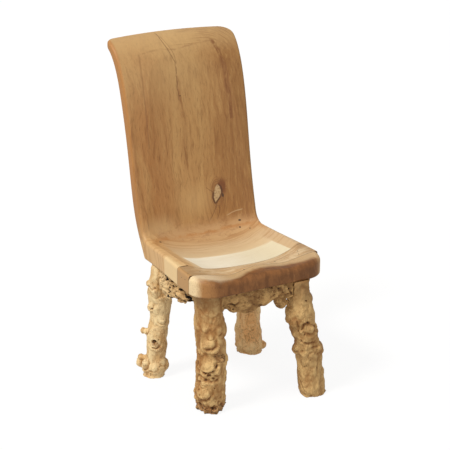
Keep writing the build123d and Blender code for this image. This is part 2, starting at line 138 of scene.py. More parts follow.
def burl_relief(points, shift=0.0, openness=1.0, size=1.0):
    """The height of burl: swollen folds and packed buds, with creases and deep holes."""
    fold_height, bud_height, seam_depth, grain_height, hole_depth = 0.0130, 0.0028, 0.0012, 0.0007, 0.0130
    bent = swayed(points, 0.020 * size, 0.008 * size, shift)
    near, second = cells(bent, 0.015 * size, shift)
    buds = np.sqrt(np.clip(1.0 - (near / 0.9) ** 2, 0.0, 1.0))
    in_places = smooth_step(0.5 + 1.6 * lumps(points, 0.03, 1, shift=shift + 2.0))
    seams = np.exp(-((second - near) / 0.16) ** 2) * in_places
    height = fold_height * (folds(bent, 0.032 * size, shift + 1.0) - FOLD_MEAN)
    height += bud_height * (buds - BUD_MEAN)
    height -= seam_depth * seams
    height += grain_height * lumps(points, 0.0052, 2, shift=shift + 6.0)
    eaten = lumps(bent, 0.015, 2, shift=shift + 20.0) + 0.35 * lumps(points, 0.04, 1, shift=shift + 30.0)
    return height - hole_depth * openness * smooth_step((eaten - 0.30) / 0.14)


def root_relief(points, gnarl, shift=0.0):
    """The height of a peeled root: long swellings, folds where it is gnarled, and fibres."""
    bent = swayed(points, 0.035, 0.011, shift)
    swellings = 0.0042 * lumps(bent, 0.052, 2, 2.0, shift)
    large_folds = 0.0125 * gnarl * (folds(bent, 0.040, shift + 1.0, 1.5) - FOLD_MEAN)
    small_folds = (0.0008 + 0.0034 * gnarl) * (folds(bent, 0.017, shift + 5.0, 1.5) - FOLD_MEAN)
    bumps = (0.0003 + 0.0008 * gnarl) * lumps(bent, 0.011, 2, 1.4, shift + 4.0)
    fibres = 0.0002 * lumps(bent, 0.0038, 2, 6.0, shift + 9.0)
    return swellings + large_folds + small_folds + bumps + fibres


class Spots:
    """Places on a piece, found where the camera sees them."""

    def __init__(self, piece):
        self.piece = piece
        self.middle = sum((Vector(corner) for corner in piece.bound_box), Vector()) / 8
        bpy.context.view_layer.update()

    def at(self, u, v):
        """The place that is seen at a point of the view, or the nearest one beside it."""
        found, place, _, _ = self.piece.ray_cast(CAMERA_PLACE, sight(u, v))
        if not found:
            beside = CAMERA_PLACE + sight(u, v) * (self.middle - CAMERA_PLACE).length
            _, place, _, _ = self.piece.closest_point_on_mesh(beside)
        return np.array(place)


def boss(points, centre, radius, height):
    """A round swelling of grain with a soft fold and a lip under it, and shallow rings."""
    crease, ring_height, ring_rate = 0.45, 0.00025, 12.0
    away = points - centre
    distance = np.linalg.norm(away, axis=1) / radius
    dome = height * smooth_step(1.25 - distance)
    ragged = 0.5 * np.sin(300.0 * away[:, 0] + 90.0 * radius)
    below = smooth_step(0.35 - 1.2 * away[:, 2] / radius + ragged)
    fold = crease * height * np.exp(-((distance - 1.0) / 0.20) ** 2) * below
    lip = 0.5 * crease * height * np.exp(-((distance - 1.45) / 0.22) ** 2) * below
    rings = ring_height * np.sin(ring_rate * distance) * smooth_step(1.2 - distance)
    return dome - fold + lip + rings


def pit(points, centre, radius, depth):
    """A hole with a steep wall."""
    distance = np.linalg.norm(points - centre, axis=1) / radius
    return -depth * smooth_step((1.25 - distance) / 0.55)


def cleft(points, corners, width, depth):
    """A soft fold along a broken line, with a raised lip on both sides."""
    nearest = np.full(len(points), 1e9)
    for start, end in zip(corners, corners[1:]):
        run = end - start
        share = np.clip((points - start) @ run / (run @ run), 0.0, 1.0)
        nearest = np.minimum(nearest, np.linalg.norm(points - start - share[:, None] * run, axis=1))
    lips = 0.4 * depth * np.exp(-((nearest - 2.4 * width) / width) ** 2)
    return lips - depth * np.exp(-(nearest / width) ** 2)


def patch(points, centre, radius):
    """A weight that is 1 within a radius and fades out beyond it."""
    return smooth_step((1.3 - np.linalg.norm(points - centre, axis=1) / radius) / 0.6)


def neighbours_mean(mesh, values, rounds):
    """The values, spread along the mesh's edges a number of times."""
    ends = np.empty(2 * len(mesh.edges), dtype=np.int64)
    mesh.edges.foreach_get("vertices", ends)
    first, second = ends[0::2], ends[1::2]
    size = len(mesh.vertices)
    count = np.bincount(first, minlength=size) + np.bincount(second, minlength=size)
    for _ in range(rounds):
        total = np.bincount(first, weights=values[second], minlength=size)
        total += np.bincount(second, weights=values[first], minlength=size)
        values = total / np.maximum(count, 1)
    return values


def keep(mesh, name, values):
    """Stores a number from 0 to 1 per point for the piece's finish."""
    layer = mesh.attributes.new(name, "FLOAT", "POINT")
    layer.data.foreach_set("value", np.clip(values, 0.0, 1.0).astype(np.float32))


def carve(piece, relief, burl):
    """Moves each point of a piece out along its normal by the relief, in metres."""
    mesh = piece.data
    points, normals = per_point(piece, "co"), per_point(piece, "normal")
    heights = relief * smooth_step((UNDERSIDE - points[:, 2]) / SEAT_FADE)
    moved = points + normals * heights[:, None]
    moved[:, 2] = np.clip(moved[:, 2], 0.0, UNDERSIDE)
    mesh.vertices.foreach_set("co", moved.ravel())
    around = neighbours_mean(mesh, heights, WIDE_ROUNDS)
    # crease, hollow and ridge drive the finishes' painted shade in folds and holes and their painted
    # highlight on ridges
    keep(mesh, "crease", (neighbours_mean(mesh, heights, CLOSE_ROUNDS) - heights) / CREASE_SCALE)
    keep(mesh, "hollow", (around - heights) / HOLLOW_SCALE)
    keep(mesh, "ridge", (heights - around) / RIDGE_SCALE)
    keep(mesh, "burl", burl)
    for face in mesh.polygons:
        face.use_smooth = True
    mesh.update()


# ---------------------------------------------------------------- what each root shows
# u and v are a place in the camera's view, in pixels; radius, height, depth and width are in mm.
# foot_burl is the height of the burl at the foot, and gnarl pairs heights above the floor with how
# gnarled the root is there, both in metres.
Boss = namedtuple("Boss", "u v radius height")
Pit = namedtuple("Pit", "u v radius depth")
Cleft = namedtuple("Cleft", "places width depth")
Burl = namedtuple("Burl", "u v radius")
Root = namedtuple("Root", "shift foot_burl gnarl bosses pits clefts burls")

ROOTS = {
    "leg_front_left": Root(
        shift=0.0, foot_burl=0.034, gnarl=((0.0, 1.0), (0.18, 0.85), (0.26, 0.6), (0.33, 0.4)),
        bosses={
            "upper_knob": Boss(209.4, 343.5, 21, 7), "upper_knob_bud": Boss(211.0, 337.0, 10, 4),
            "middle_knob": Boss(206.7, 365.6, 25, 6), "middle_knob_crown": Boss(206.9, 365.2, 13, 2.5),
            "lower_knob": Boss(201.5, 391.7, 27, 6), "lower_knob_bud": Boss(203.0, 384.0, 12, 4),
            "right_swelling": Boss(218.0, 371.0, 16, 4), "left_bud": Boss(198.0, 351.0, 12, 4),
            "top_left_swelling": Boss(205.0, 328.0, 15, 3), "top_right_swelling": Boss(219.5, 331.0, 14, 3),
            "foot_knob": Boss(213.0, 404.0, 17, 5), "left_nub": Boss(199.5, 378.5, 9, 4)},
        pits={
            "cavity": Pit(209.4, 376.8, 8, 8), "cavity_left": Pit(205.5, 375.2, 4, 5),
            "cavity_right": Pit(213.6, 378.8, 4, 5), "middle_left_hole": Pit(197.4, 367.6, 3.4, 7),
            "lower_left_hole": Pit(199.2, 389.6, 3.0, 6), "lower_left_pinhole": Pit(199.6, 394.0, 2.6, 5),
            "lower_right_hole": Pit(214.8, 389.3, 2.2, 4), "right_edge_hole": Pit(221.4, 397.6, 2.0, 4),
            "foot_right_hole": Pit(214.8, 402.0, 3.0, 5), "foot_left_hole": Pit(199.5, 405.5, 3.5, 5)},
        clefts={
            "collar_fold": Cleft([(201.1, 311.7), (206.0, 316.5), (212.8, 319.6), (218.5, 315.0),
                                  (222.6, 307.4)], 4.0, 1.8),
            "middle_left_fold": Cleft([(197.6, 362.5), (196.6, 367.0), (198.6, 371.5)], 3.4, 5.4),
            "under_middle_knob": Cleft([(203.6, 373.6), (209.0, 374.0), (214.5, 371.0),
                                        (217.6, 367.0)], 3.4, 4.0),
            "under_cavity": Cleft([(206.0, 380.4), (211.0, 381.8), (217.8, 380.0)], 3.4, 3.1),
            "over_lower_knob": Cleft([(196.4, 381.0), (201.0, 382.4), (205.0, 385.0)], 3.0, 2.7),
            "under_lower_knob": Cleft([(201.5, 399.5), (206.0, 401.4), (210.5, 397.0)], 3.0, 3.1)},
        burls={"right_burl": Burl(220.2, 357.0, 17)}),
    "leg_rear_left": Root(
        shift=30.0, foot_burl=0.0, gnarl=((0.0, 0.50), (0.1, 0.40), (0.26, 0.40), (0.33, 0.5)),
        bosses={
            "middle_knob": Boss(161.8, 320.0, 15, 5), "middle_knob_crown": Boss(161.4, 320.4, 7, 2),
            "upper_left_bud": Boss(150.8, 305.5, 10, 4), "upper_swelling": Boss(156.0, 294.0, 16, 3),
            "eye_rim": Boss(155.0, 343.0, 16, 4), "foot_left_knob": Boss(146.0, 362.0, 14, 4),
            "foot_right_knob": Boss(163.0, 361.5, 12, 3), "foot_swelling": Boss(153.0, 368.0, 16, 3),
            "spur_neck": Boss(147.0, 330.5, 12, 6), "foot_knob_neck": Boss(144.5, 364.0, 18, 7)},
        pits={
            "eye": Pit(154.9, 342.3, 3.6, 5), "eye_right": Pit(158.2, 340.3, 2.2, 4),
            "eye_left": Pit(152.4, 341.0, 2.0, 4), "eye_below": Pit(156.4, 346.0, 2.2, 4),
            "upper_left_hole": Pit(149.9, 304.2, 2.4, 4), "upper_left_pinhole": Pit(151.2, 308.6, 1.8, 3),
            "middle_pinhole": Pit(156.6, 326.6, 1.5, 3), "top_pinhole": Pit(158.6, 284.7, 1.8, 3),
            "foot_right_hole": Pit(159.8, 366.5, 2.6, 4), "foot_left_pinhole": Pit(144.5, 364.0, 1.6, 3)},
        clefts={
            "top_fold": Cleft([(148.8, 286.6), (152.0, 289.4), (155.5, 288.0)], 3.4, 3.1),
            "under_eye": Cleft([(152.6, 347.6), (156.0, 348.6), (159.2, 346.2)], 3.0, 2.7)},
        burls={"eye_burl": Burl(155.0, 343.0, 10)}),
    "leg_front_right": Root(
        shift=60.0, foot_burl=0.0, gnarl=((0.0, 0.75), (0.15, 0.60), (0.25, 0.85), (0.33, 0.75)),
        bosses={
            "upper_knob": Boss(310.9, 329.5, 19, 6), "right_knob": Boss(318.0, 348.0, 17, 4),
            "left_knob": Boss(295.5, 347.5, 16, 4), "shoulder": Boss(298.0, 313.0, 22, 3),
            "foot_swelling": Boss(309.0, 391.0, 22, 3), "foot_bud": Boss(305.0, 384.0, 11, 2)},
        pits={
            "top_hole": Pit(306.4, 300.6, 3.0, 4), "knob_left_hole": Pit(304.5, 334.5, 2.4, 4),
            "knob_left_pinhole": Pit(303.4, 331.8, 1.8, 4), "over_knob_hole": Pit(312.0, 324.6, 2.4, 4),
            "shin_hole": Pit(309.6, 360.4, 2.6, 4), "shin_right_pinhole": Pit(306.4, 365.8, 1.8, 3),
            "shin_left_pinhole": Pit(304.0, 366.5, 1.6, 3), "foot_hole": Pit(300.2, 382.0, 2.6, 4),
            "waist_pinhole": Pit(309.2, 345.8, 1.8, 3)},
        clefts={
            "over_upper_knob": Cleft([(302.0, 329.5), (304.0, 325.0), (307.0, 323.0), (311.0, 325.4),
                                      (315.0, 326.0)], 3.8, 4.5),
            "left_edge_fold": Cleft([(296.8, 322.4), (298.2, 325.6), (298.6, 331.0)], 3.4, 3.6),
            "under_upper_knob": Cleft([(301.4, 341.4), (308.0, 344.6), (314.0, 342.6),
                                       (317.4, 341.0)], 3.4, 3.1),
            "waist_fold": Cleft([(303.0, 352.0), (309.0, 349.0), (315.6, 346.4)], 4.2, 2.2),
            "foot_fold": Cleft([(299.6, 381.0), (302.0, 386.0), (305.0, 391.0)], 3.4, 3.1)},
        burls={}),
    "leg_rear_right": Root(
        shift=90.0, foot_burl=0.0, gnarl=((0.0, 0.55), (0.2, 0.45), (0.33, 0.4)),
        bosses={
            "knob": Boss(250.6, 327.0, 15, 4), "left_swelling": Boss(241.0, 330.0, 14, 2),
            "foot_left_swelling": Boss(243.0, 343.0, 18, 3),
            "foot_right_swelling": Boss(254.0, 345.0, 16, 3)},
        pits={"right_pinhole": Pit(256.2, 340.6, 1.8, 3), "left_pinhole": Pit(240.5, 341.6, 1.6, 3)},
        clefts={},
        burls={}),
}

FRONT_APRON_PITS = {"left_pit": Pit(233.0, 310.0, 3, 5), "right_pit": Pit(289.0, 289.0, 2.5, 5)}

# where the left apron is eaten through
LEFT_APRON_HOLES = {
    "slit_rear": Pit(170.6, 288.0, 3.2, 11), "slit_middle": Pit(173.2, 286.4, 2.8, 11),
    "slit_front": Pit(176.0, 286.2, 2.6, 10), "under_seat": Pit(180.6, 289.6, 3.8, 12),
    "nest_top_rear": Pit(171.0, 291.8, 3.4, 12), "nest_top_front": Pit(173.8, 293.4, 3.0, 12),
    "nest_low_rear": Pit(168.4, 296.6, 3.4, 12), "nest_low_middle": Pit(171.4, 297.6, 3.0, 12),
    "nest_low_front": Pit(174.6, 296.2, 2.8, 11), "cave": Pit(185.0, 294.2, 4.2, 13),
    "cave_floor": Pit(186.2, 297.4, 3.2, 12), "front_cave": Pit(190.2, 297.8, 4.6, 13),
    "front_cave_floor": Pit(191.4, 300.8, 4.6, 13), "edge_hole": Pit(184.2, 301.0, 2.6, 10)}


def carved_root(node):
    """One leg: the CAD root with its knots, holes, cracks and patches of burl."""
    piece = even_copy(node, node + "_root", ROOT_PITCH)
    points = per_point(piece, "co")
    shows, spots = ROOTS[node], Spots(piece)
    gnarl = np.interp(points[:, 2], *zip(*shows.gnarl))
    relief = root_relief(points, gnarl, shows.shift)
    bent = swayed(points, 0.024, 0.0040, shows.shift)
    for mark in shows.bosses.values():
        relief += boss(bent, spots.at(mark.u, mark.v), mark.radius * MM, mark.height * MM)
    burl = smooth_step((shows.foot_burl - points[:, 2]) / 0.012)
    for mark in shows.burls.values():
        burl = np.maximum(burl, patch(points, spots.at(mark.u, mark.v), mark.radius * MM))
    relief = relief + burl * burl_relief(points, shows.shift)
    for mark in shows.pits.values():
        relief += pit(bent, spots.at(mark.u, mark.v), mark.radius * MM, mark.depth * MM)
    for mark in shows.clefts.values():
        corners = [spots.at(*place) for place in mark.places]
        relief += cleft(bent, corners, mark.width * MM, mark.depth * MM)
    carve(piece, relief, burl)
    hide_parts(node)
    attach(piece, "root")
    return piece


def carved_apron(node, shift, openness, size, pits):
    """One apron: the CAD rail grown over with burl of a size, more or less open, with pits."""
    piece = even_copy(node, node + "_burl", APRON_PITCH)
    points = per_point(piece, "co")
    relief = burl_relief(points, shift, openness, size) + 0.0025 * lumps(points, 0.05, 2, shift=shift)
    spots = Spots(piece)
    for mark in pits.values():
        relief += pit(points, spots.at(mark.u, mark.v), mark.radius * MM, mark.depth * MM)
    carve(piece, relief, np.ones(len(points)))
    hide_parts(node)
    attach(piece, "root")
    return piece


def eaten_through(piece, holes, inward, drawn):
    """Sinks holes into a carved piece, drawn out along the axes with a share below 1, and raises their hollow
    value so that the finish paints them dark as painted shade.
    """
    spots, points = Spots(piece), per_point(piece, "co")
    hollow = np.empty(len(points))
    layer = piece.data.attributes["hollow"].data
    layer.foreach_get("value", hollow)
    deep = np.zeros(len(points))
    for mark in holes.values():
        away = (points - spots.at(mark.u, mark.v)) * drawn
        distance = np.linalg.norm(away, axis=1) / (mark.radius * MM)
        deep = np.maximum(deep, mark.depth * MM * smooth_step((1.25 - distance) / 0.45))
        # painted shade: the holes' hollow value is raised so that the burl finish paints them near-black
        hollow = np.maximum(hollow, smooth_step((1.40 - distance) / 0.40))
    piece.data.vertices.foreach_set("co", (points + deep[:, None] * inward).ravel())
    layer.foreach_set("value", hollow.astype(np.float32))
    piece.data.update()


# ================================================================ finishes
WHITE = (1.0, 1.0, 1.0, 1.0)


def srgb(red, green, blue):
    """A colour given as screen values from 0 to 255."""
    parts = [value / 255.0 for value in (red, green, blue)]
    linear = [part / 12.92 if part <= 0.04045 else ((part + 0.055) / 1.055) ** 2.4 for part in parts]
    return (*linear, 1.0)


class Field:
    """A value that varies over a surface, with arithmetic on it."""

    def __init__(self, nodes, socket):
        self.nodes, self.socket = nodes, socket

    def _math(self, operation, first, second):
        return self.nodes.node("ShaderNodeMath", {"operation": operation}, {0: first, 1: second})

    def __add__(self, other):
        return self._math("ADD", self, other)

    def __sub__(self, other):
        return self._math("SUBTRACT", self, other)

    def __rsub__(self, other):
        return self._math("SUBTRACT", other, self)

    def __mul__(self, other):
        return self._math("MULTIPLY", self, other)

    def __truediv__(self, other):
        return self._math("DIVIDE", self, other)

    def __pow__(self, other):
        return self._math("POWER", self, other)

    __radd__ = __add__
    __rmul__ = __mul__


class Nodes:
    """The nodes of one material or world."""

    def __init__(self, owner):
        owner.use_nodes = True
        self.owner, self.tree = owner, owner.node_tree

    def node(self, kind, settings, inputs, output=0):
        """Adds a node with its settings and inputs, and gives one of its outputs."""
        made = self.tree.nodes.new(kind)
        for name, value in settings.items():
            if name == "stops":
                while len(made.color_ramp.elements) < len(value):
                    made.color_ramp.elements.new(0.5)
                for element, (position, colour) in zip(made.color_ramp.elements, value):
                    element.position = position
                    element.color = colour
            else:
                setattr(made, name, value)
        for name, value in inputs.items():
            if isinstance(value, Field):
                self.tree.links.new(value.socket, made.inputs[name])
            else:
                made.inputs[name].default_value = value
        return Field(self, made.outputs[output])

    def surface(self, output, shader):
        """Connects a shader to the named output node."""
        self.tree.links.new(shader.socket, self.tree.nodes[output].inputs["Surface"])


class Finish(Nodes):
    """One procedural material on object coordinates."""

    def __init__(self, name):
        super().__init__(bpy.data.materials.new(name))
        self.shader = self.tree.nodes["Principled BSDF"]
        self.place = self.node("ShaderNodeTexCoord", {}, {}, "Object")
        apart = self.node("ShaderNodeSeparateXYZ", {}, {0: self.place}).socket.node
        self.x, self.y, self.z = [Field(self, socket) for socket in apart.outputs]

    def noise(self, scale, stretch=(1.0, 1.0, 1.0), detail=3.0, roughness=0.55, place=None):
        """Cloudy noise round 0.5; a stretch above 1 draws it out along that axis."""
        place = place or self.place
        scales = tuple(scale / value for value in stretch)
        mapped = self.node("ShaderNodeVectorMath", {"operation": "MULTIPLY"}, {0: place, 1: scales})
        return self.node("ShaderNodeTexNoise", {}, {"Vector": mapped, "Scale": 1.0, "Detail": detail,
                                                    "Roughness": roughness})

    def vector(self, x, y, z):
        """Three values as one place."""
        return self.node("ShaderNodeCombineXYZ", {}, {0: x, 1: y, 2: z})

    def rise(self, value, low, high):
        """0 at low, 1 at high, soft between; low may lie above high."""
        return self.node("ShaderNodeMapRange", {"interpolation_type": "SMOOTHSTEP"},
                         {"Value": value, "From Min": low, "From Max": high})

    def size(self, value):
        """The value without its sign."""
        return self.node("ShaderNodeMath", {"operation": "ABSOLUTE"}, {0: value})

    def near(self, value, reach):
        """1 where a value is 0, and 0 beyond a reach on both sides."""
        return self.rise(self.size(value), reach, 0.0)

    def mix(self, under, over, share):
        """Two colours mixed."""
        return self.node("ShaderNodeMix", {"data_type": "RGBA"}, {"Factor": share, 6: under, 7: over}, 2)

    def coats(self, colour, *coats):
        """A colour with others laid over it one by one, each with its share."""
        for over, share in coats:
            colour = self.mix(colour, over, share)
        return colour

    def ramp(self, value, low, high, colours):
        """Colours laid out evenly from low to high."""
        share = self.node("ShaderNodeMapRange", {}, {"Value": value, "From Min": low, "From Max": high})
        stops = [(index / (len(colours) - 1), colour) for index, colour in enumerate(colours)]
        return self.node("ShaderNodeValToRGB", {"stops": stops}, {"Fac": share})

    def curve(self, value, low, high, heights):
        """A number from -0.5 to 0.5 that follows the given heights from low to high."""
        return self.ramp(value, low, high, [(0.5 + height,) * 3 + (1.0,) for height in heights]) - 0.5

    def blob(self, centre, size):
        """1 at a place, 0 beyond an ellipsoid of the given half sizes."""
        away = self.node("ShaderNodeVectorMath", {"operation": "SUBTRACT"}, {0: self.place, 1: centre})
        scaled = self.node("ShaderNodeVectorMath", {"operation": "DIVIDE"}, {0: away, 1: size})
        length = self.node("ShaderNodeVectorMath", {"operation": "LENGTH"}, {0: scaled}, "Value")
        return self.rise(length, 1.0, 0.0)

    def line(self, along, low, high, across, offsets, width, waver):
        """A wavering stroke from low to high along one axis, at the given offsets across."""
        middle = self.curve(along, low, high, offsets) + waver
        ends = self.rise(along, low - 0.004, low + 0.004) * self.rise(along, high + 0.004, high - 0.004)
        return self.near(across - middle, width) * ends

    def attribute(self, name):
        """A number kept per point of the piece."""
        return self.node("ShaderNodeAttribute", {"attribute_name": name}, {}, "Fac")

    def finish(self, colour, roughness, height, depth, strength):
        """Connects the shader, with a bump of a depth in metres."""
        self.tree.links.new(colour.socket, self.shader.inputs["Base Color"])
        if isinstance(roughness, Field):
            self.tree.links.new(roughness.socket, self.shader.inputs["Roughness"])
        else:
            self.shader.inputs["Roughness"].default_value = roughness
        bump = self.node("ShaderNodeBump", {}, {"Strength": strength, "Distance": depth, "Height": height})
        self.tree.links.new(bump.socket, self.shader.inputs["Normal"])
        self.shader.inputs["Specular IOR Level"].default_value = 0.35
        return self.owner


# Where things lie on the seat and back, in metres.
STRIP_JOINT, BOARD_JOINT = -0.159, -0.238     # Y of the two glue lines
SEAM_WIDTH = 0.0015
KNOT = (0.0785, 0.134, 0.549)
KNOT_PULL = (0.062, 0.2, 0.105)               # how far the grain bends round the knot
RUST, RUST_SIZE = (0.093, 0.137, 0.570), (0.036, 0.06, 0.044)
SPUR, SPUR_SIZE = (0.0965, 0.1310, 0.541), (0.0070, 0.05, 0.0120)
PALE_LOW_LEFT, PALE_LOW_LEFT_SIZE = (-0.135, 0.085, 0.470), (0.11, 0.10, 0.065)
PALE_LOW_MIDDLE, PALE_LOW_MIDDLE_SIZE = (-0.005, 0.125, 0.53), (0.10, 0.12, 0.085)
HEAD_MIDDLE, HEAD_REACH = 0.84, 0.205         # the rings at the head run round this height
BLOCK_HOLES = {                               # place and half size of each small dark hole
    "left_bend_hole": ((-0.1565, 0.0749, 0.4439), 0.0052),
    "right_bend_hole": ((0.1443, 0.1066, 0.4558), 0.0046),
    "right_hole_below": ((0.1366, 0.0911, 0.4377), 0.0034),
    "right_wall_hole": ((0.1621, 0.0703, 0.4363), 0.0028),
    "right_middle_hole": ((0.1080, 0.1080, 0.4590), 0.0030),
    "left_wall_hole": ((-0.1300, 0.0640, 0.4390), 0.0022),
    "crack_hole": ((-0.021, 0.2, 0.868), 0.0030),
    "back_hole": ((0.094, 0.157, 0.765), 0.0022)}


class CarvedBlock(Finish):
    """The wood of seat and back: brown heartwood, with cream sapwood in the front of the bowl."""

    def __init__(self):
        super().__init__("carved_block_wood")
        self.cloud = self.noise(8.0, detail=4.0)
        self.wisp = self.noise(34.0, detail=3.0)
        self.grit = self.noise(170.0, detail=2.0)
        self.specks = self.wisp + 0.4 * (self.grit - 0.5)
        self.waver = 0.008 * (self.wisp - 0.5)
        self.draw_grain()
        self.draw_rings()

    def draw_grain(self):
        """The grain runs up the back and bends round the knot."""
        self.pull = self.blob(KNOT, KNOT_PULL)
        sway = self.vector((self.x - KNOT[0]) * self.pull * -0.8 + 0.03 * self.cloud, 0.0, 0.0)
        upright = self.node("ShaderNodeVectorMath", {"operation": "ADD"}, {0: self.place, 1: sway})
        self.bands = self.noise(26.0, (1.0, 1.6, 34.0), 2.0, 0.5, upright)
        self.streaks = self.noise(100.0, (1.0, 1.6, 90.0), 3.0, 0.64, upright)
        self.fibres = self.noise(340.0, (1.0, 1.6, 130.0), 2.0, 0.6, upright)

    def draw_rings(self):
        """Growth rings: the tree's heart stands well behind the seat and leans with the back."""
        beside, behind = self.x - 0.02, self.y - (0.62 + 0.27 * (self.z - 0.45))
        from_heart = (beside * beside * 0.8 + behind * behind) ** 0.5
        wandering = from_heart + 0.030 * (self.cloud - 0.5) + 0.010 * (self.wisp - 0.5)
        place = self.vector(wandering, self.x * 0.03, self.z * 0.05)
        self.rings = self.noise(130.0, detail=3.0, roughness=0.6, place=place)
        self.fine_rings = self.noise(420.0, detail=2.0, roughness=0.6, place=place)

    def plain_back(self):
        """The back's colour from side to side, with its bands, streaks and paler parts."""
        rise, x, z = self.rise, self.x, self.z
        heartwood = [srgb(184, 134, 80), srgb(178, 124, 71), srgb(180, 130, 77), srgb(188, 142, 87),
                     srgb(184, 138, 83), srgb(172, 124, 71), srgb(158, 111, 61), srgb(164, 118, 67)]
        return self.coats(
            self.ramp(x, -0.21, 0.21, heartwood),
            (srgb(200, 158, 100), 0.42 * rise(self.bands, 0.48, 0.74)),
            (srgb(142, 92, 46), 0.45 * rise(self.bands, 0.47, 0.24)),
            (srgb(202, 158, 98), 0.40 * rise(self.streaks, 0.50, 0.28)),
            (srgb(136, 88, 44), 0.60 * rise(self.streaks, 0.50, 0.74)),
            (srgb(112, 70, 36), 0.38 * rise(self.fibres, 0.52, 0.72)),
            (srgb(208, 172, 118), 0.34 * rise(z, 0.78, 0.97) * rise(x, 0.16, -0.02)),
            (srgb(206, 168, 114), 0.50 * rise(z, 0.975, 1.035)),
            (srgb(218, 182, 130), 0.75 * self.blob(PALE_LOW_LEFT, PALE_LOW_LEFT_SIZE)),
            (srgb(212, 172, 116), 0.55 * self.blob(PALE_LOW_MIDDLE, PALE_LOW_MIDDLE_SIZE)))

    def knotted(self, back):
        """The knot: a pale pointed core in a dark ring, a rusty cloud beside it and two tails."""
        rise, x, y, z = self.rise, self.x, self.y, self.z
        beside, above = x - KNOT[0], z - KNOT[2]
        lean = self.curve(z, 0.50, 0.60, [-0.010, -0.008, 0.0, 0.002, 0.0])
        core_width = self.curve(z, 0.515, 0.580, [0.000, 0.006, 0.0125, 0.0150, 0.015, 0.012, 0.003])
        off_edge = self.size(beside + 0.5 * self.waver - lean) - core_width
        in_reach = rise(z, 0.513, 0.520) * rise(z, 0.582, 0.572) * rise(y, 0.05, 0.08)
        ring = rise(off_edge, 0.0062, 0.0010) * in_reach
        core = rise(off_edge, -0.0015, -0.0050) * in_reach
        core_colour = self.mix(srgb(200, 168, 122), srgb(168, 130, 88), rise(self.grit, 0.45, 0.7))
        rust = self.blob(RUST, RUST_SIZE) * rise(self.specks, 0.36, 0.58)
        halo = (beside * beside + above * above * 0.28) ** 0.5 + 0.006 * (self.wisp - 0.5)
        loops = self.noise(300.0, detail=3.0, roughness=0.6, place=self.vector(halo, 0.0, z * 0.02))
        spur = self.blob(SPUR, SPUR_SIZE) * (0.5 + self.grit)
        left_tail = self.line(z, 0.462, 0.522, x, [0.040, 0.052, 0.062, 0.069, 0.073], 0.0030, self.waver)
        right_tail = self.line(z, 0.468, 0.512, x, [0.072, 0.078, 0.082, 0.080], 0.0028, self.waver)
        twig = self.line(x, 0.040, 0.064, z, [0.572, 0.562, 0.556], 0.0028, self.waver)
        self.tails = left_tail + right_tail
        return self.coats(
            back,
            (srgb(118, 66, 34), 0.80 * rise(rust, 0.0, 0.8)),
            (srgb(122, 74, 40), 0.55 * rise(self.pull, 0.15, 0.7) * rise(loops, 0.45, 0.66)),
            (srgb(92, 58, 36), 0.9 * ring * rise(self.specks, 0.26, 0.50)),
            (core_colour, core),
            (srgb(74, 54, 42), 0.85 * rise(spur, 0.25, 0.6)),
            (srgb(104, 66, 36), 0.55 * (self.tails + twig)))

    def cracked(self, back):
        """The forked crack, the creases, the line and rings at the head, and the scratch."""
        rise, line, waver, x, z = self.rise, self.line, self.waver, self.x, self.z
        self.fork = line(z, 0.855, 1.052, x, [-0.0264, -0.026, -0.0254, -0.0235, -0.0217, -0.033, -0.046,
                                              -0.0555], 0.0030, 1.4 * waver)
        branch = line(z, 0.965, 1.045, x, [-0.019, -0.022, -0.033, -0.047], 0.0020, waver)
        fork_glow = line(z, 0.80, 0.93, x, [-0.020, -0.022, -0.022], 0.010, waver)
        crease_right = line(z, 0.78, 1.025, x, [0.147, 0.150, 0.147, 0.147, 0.141, 0.122], 0.014, waver)
        crease_left = line(z, 0.72, 1.002, x, [-0.151, -0.150, -0.149, -0.148, -0.146, -0.140], 0.0050,
                           0.5 * waver)
        head_line = line(x, -0.145, 0.115, z, [1.000, 1.007, 1.011, 1.006, 1.013, 1.019, 1.022], 0.0040,
                         waver)
        scratch = line(x, 0.106, 0.160, z, [0.4745, 0.4815, 0.486, 0.4885], 0.0030, 0.5 * waver)
        return self.coats(
            back,
            (srgb(108, 70, 38), 0.62 * self.fork * rise(self.wisp, 0.28, 0.5) + 0.45 * branch),
            (srgb(140, 86, 42), 0.5 * fork_glow * rise(self.streaks, 0.35, 0.6)),
            (srgb(122, 72, 36), 0.75 * crease_right * rise(self.streaks + 0.3 * self.wisp, 0.52, 0.76)),
            (srgb(128, 84, 52), 0.40 * crease_left + 0.32 * head_line * rise(self.wisp, 0.4, 0.6)),
            (srgb(132, 88, 48), 0.45 * self.head_rings()),
            (srgb(204, 172, 126), 0.7 * scratch))

    def head_rings(self):
        """Fine rings that turn with the right upper corner of the back."""
        across, up = self.x / HEAD_REACH, (self.z - HEAD_MIDDLE) / HEAD_REACH
        square = (across * across) ** 2.0 + (up * up) ** 2.0
        round_head = 0.2 * square ** 0.25 + 0.006 * (self.cloud - 0.5)
        place = self.vector(round_head, self.x * 0.04, self.z * 0.04)
        rings = self.rise(self.noise(310.0, detail=3.0, roughness=0.62, place=place), 0.48, 0.68)
        corner = self.rise(self.z, 0.80, 0.98) * self.rise(square, 0.45, 0.80)
        return corner * self.rise(self.x, -0.04, 0.10) * rings

